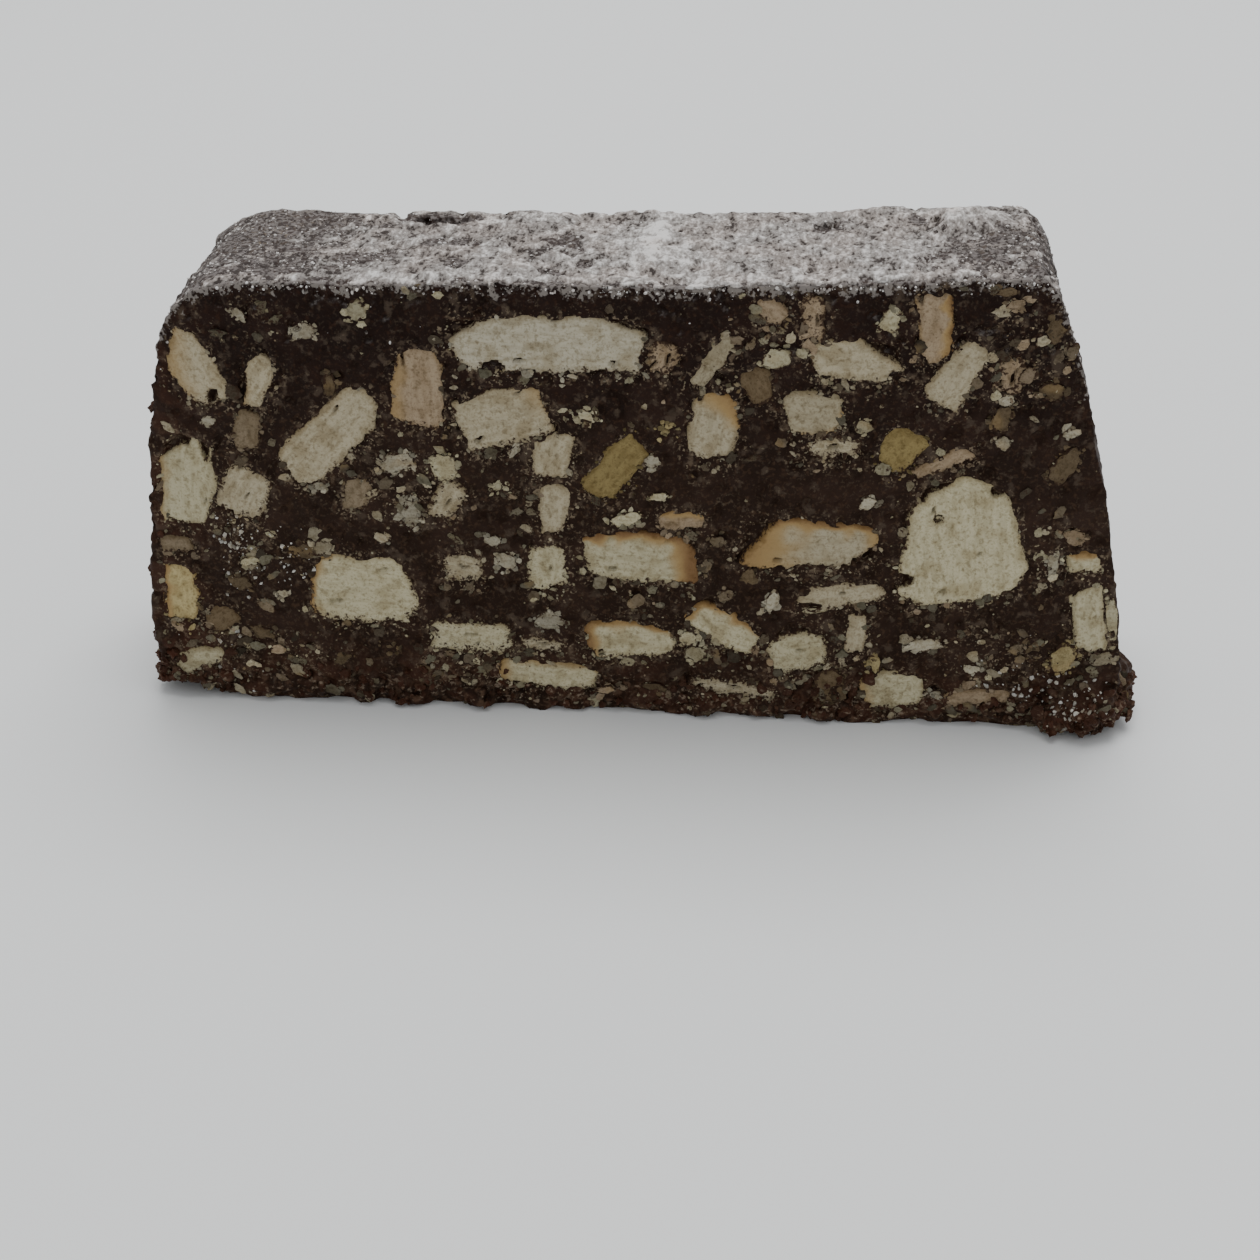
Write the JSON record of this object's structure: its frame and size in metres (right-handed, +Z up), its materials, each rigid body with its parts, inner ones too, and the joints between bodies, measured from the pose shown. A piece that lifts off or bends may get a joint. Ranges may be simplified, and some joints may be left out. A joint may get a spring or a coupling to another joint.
{
  "type": "chocolate salami slice",
  "caption": "Slice of chocolate salami standing on its base: dark chocolate cut through broken tea biscuits, tapering sides, top dusted with icing sugar.",
  "frame": {"origin": "middle of the base, under the centre of the slice", "axes": "+X along the slice to the right as seen from the front cut face, +Y through its thickness to the back cut face, +Z up"},
  "size_m": [0.1004, 0.023, 0.0489],
  "materials": {
    "chocolate": "dark set chocolate with biscuit dust, matt with small oily glints",
    "biscuit": "dry crumbly tea biscuit, matt"
  },
  "bodies": {
    "root": {"chocolate": "chocolate", "biscuit_01": "biscuit", "biscuit_02": "biscuit", "biscuit_03": "biscuit", "biscuit_04": "biscuit", "biscuit_05": "biscuit", "biscuit_06": "biscuit", "biscuit_07": "biscuit", "biscuit_08": "biscuit", "biscuit_09": "biscuit", "biscuit_10": "biscuit", "biscuit_11": "biscuit", "biscuit_12": "biscuit", "biscuit_13": "biscuit", "biscuit_14": "biscuit", "biscuit_15": "biscuit", "biscuit_16": "biscuit", "biscuit_17": "biscuit", "biscuit_18": "biscuit", "biscuit_19": "biscuit", "biscuit_20": "biscuit", "biscuit_21": "biscuit", "biscuit_22": "biscuit", "biscuit_23": "biscuit", "biscuit_24": "biscuit", "biscuit_25": "biscuit", "biscuit_26": "biscuit", "biscuit_27": "biscuit", "biscuit_28": "biscuit", "biscuit_29": "biscuit", "biscuit_30": "biscuit", "biscuit_31": "biscuit", "biscuit_32": "biscuit", "biscuit_33": "biscuit", "biscuit_34": "biscuit", "biscuit_35": "biscuit", "biscuit_36": "biscuit", "biscuit_37": "biscuit", "biscuit_38": "biscuit", "biscuit_39": "biscuit", "biscuit_40": "biscuit", "biscuit_41": "biscuit", "biscuit_42": "biscuit", "biscuit_43": "biscuit", "biscuit_44": "biscuit", "biscuit_45": "biscuit", "biscuit_46": "biscuit", "biscuit_47": "biscuit", "biscuit_48": "biscuit", "biscuit_49": "biscuit", "biscuit_50": "biscuit", "biscuit_51": "biscuit", "biscuit_52": "biscuit", "biscuit_53": "biscuit", "biscuit_54": "biscuit", "biscuit_55": "biscuit", "biscuit_56": "biscuit", "biscuit_57": "biscuit", "biscuit_58": "biscuit", "biscuit_59": "biscuit"}
  },
  "joints": []
}
